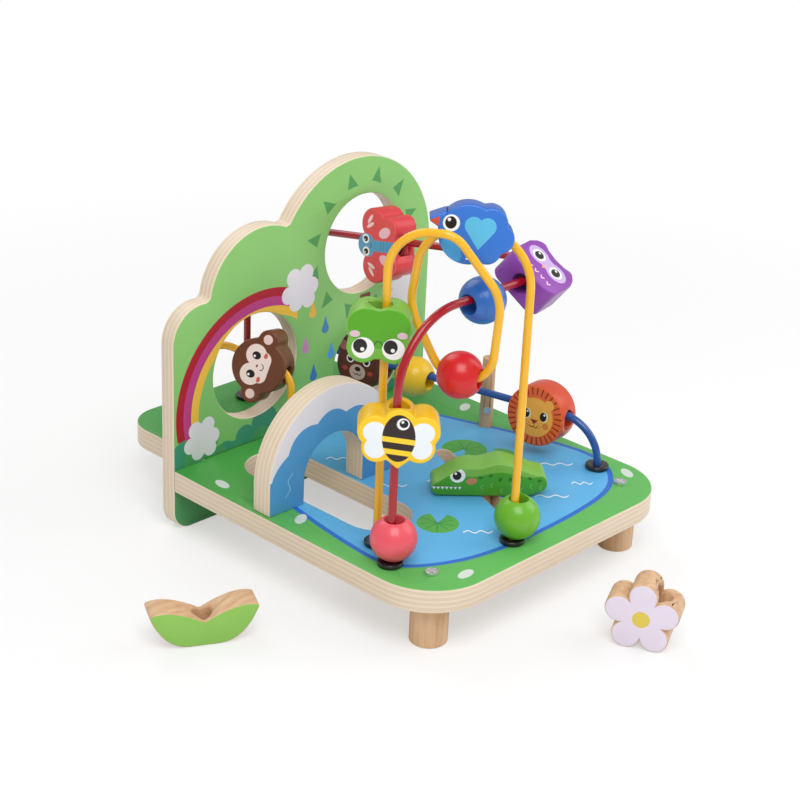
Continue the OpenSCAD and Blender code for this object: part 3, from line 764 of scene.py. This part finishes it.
def flowerFront(place, p):
    petal = solid(place, tint(232, 222, 236)).mix(tint(222, 208, 228), noise(place, 80.0) * 0.6)
    return printed(petal, [(tint(224, 200, 84), disc(p, 0, 0, 5.3))])


def leafFront(place, p):
    return solid(place, tint(146, 198, 92)).mix(tint(128, 182, 76), noise(place, 60.0) * 0.6)


sanded("flower", looseFinish("flower_front", (4, -293, 20.28), -64, 21.0, (0, 0, 1), flowerFront), 1.5)
sanded("leaf", looseFinish("leaf_front", (-186, -117, 0), -28, 18.5, (1, 0, 0), leafFront), 1.3)
print("crocodile, flower and leaf done")

# Studio: white floor, soft light, and the camera where the photograph was taken
studio = {
    "camera": (-788.7, -830.2, 568.6), "azimuth": -46.91, "elevation": 23.92, "roll": 2.61, "lens": 83.18,
    "key": ((-0.55, -0.75, 1.25), 0.9, 12.5), "fill": ((0.9, -0.7, 0.8), 0.9, 5.0),
    "rim": ((0.1, 0.9, 1.1), 0.9, 4.5), "world": 0.46, "lampsAim": (0, -0.1, 0.1), "floorWhite": 0.9,
    "floorMiddle": (0, -0.1, 0), "floorNear": 0.5, "floorStart": 0.4, "floorReach": 0.35,
}


def studioFloor(d):
    bpy.ops.object.select_all(action="DESELECT")
    bpy.ops.mesh.primitive_plane_add(size=8.0, location=(0, 0, 0))
    floor = bpy.context.object
    floor.name = "studio_floor"
    material, shader, place = finish("studio_white", 0.9)
    shader.inputs["Base Color"].default_value = (*[d["floorWhite"]] * 3, 1)
    near = d["floorNear"]
    far = place.vector("DISTANCE", d["floorMiddle"], pick=1) - d["floorStart"]
    away = far.math("MULTIPLY", 1 / d["floorReach"], clamp=True)
    # the camera sees white further out, and the real shadow near the toy
    seen = place.node("LightPath", pick=0)
    glow = place.node("Emission", values={"Color": (1, 1, 1, 1), "Strength": 1.0})
    plain = Sock(place.tree, shader.outputs[0])
    mixed = place.node("MixShader", values={0: seen * (away * (1 - near) + near), 1: plain, 2: glow})
    place.tree.links.new(mixed.out, place.tree.nodes["Material Output"].inputs["Surface"])
    floor.data.materials.append(material)


def studioLamp(name, spot, aim):
    where, size, power = spot
    data = bpy.data.lights.new(name, "AREA")
    data.size = size
    data.energy = power
    lamp = bpy.data.objects.new(name, data)
    lamp.location = where
    lamp.rotation_euler = (Vector(aim) - Vector(where)).to_track_quat("-Z", "Y").to_euler()
    bpy.context.scene.collection.objects.link(lamp)


def studioCamera(d):
    azimuth, elevation, roll = (math.radians(d[name]) for name in ("azimuth", "elevation", "roll"))
    level = math.cos(elevation)
    back = Vector((math.sin(azimuth) * level, -math.cos(azimuth) * level, math.sin(elevation)))
    right = Vector((math.cos(azimuth), math.sin(azimuth), 0))
    up = back.cross(right)
    across = right * math.cos(roll) + up * math.sin(roll)
    upward = up * math.cos(roll) - right * math.sin(roll)
    data = bpy.data.cameras.new("photo_camera")
    data.lens = d["lens"]
    camera = bpy.data.objects.new("photo_camera", data)
    aim = Matrix((across, upward, back)).transposed().to_4x4()
    camera.matrix_world = Matrix.Translation(Vector(d["camera"]) * mm) @ aim
    bpy.context.scene.collection.objects.link(camera)
    bpy.context.scene.camera = camera


studioFloor(studio)
for name in ("key", "fill", "rim"):
    studioLamp(name, studio[name], studio["lampsAim"])
studioCamera(studio)
world = bpy.data.worlds.new("studio_world")
world.use_nodes = True
sky = world.node_tree.nodes["Background"]
sky.inputs["Color"].default_value = (1, 1, 1, 1)
sky.inputs["Strength"].default_value = studio["world"]
light = Sock(world.node_tree, sky.outputs[0])
clear = light.node("Background", values={"Color": (1, 1, 1, 1), "Strength": 1.0})
both = light.node("MixShader", values={0: light.node("LightPath", pick=0), 1: light, 2: clear})
world.node_tree.links.new(both.out, world.node_tree.nodes["World Output"].inputs["Surface"])
bpy.context.scene.world = world
bpy.context.scene.view_settings.view_transform = "Standard"
print("studio done")
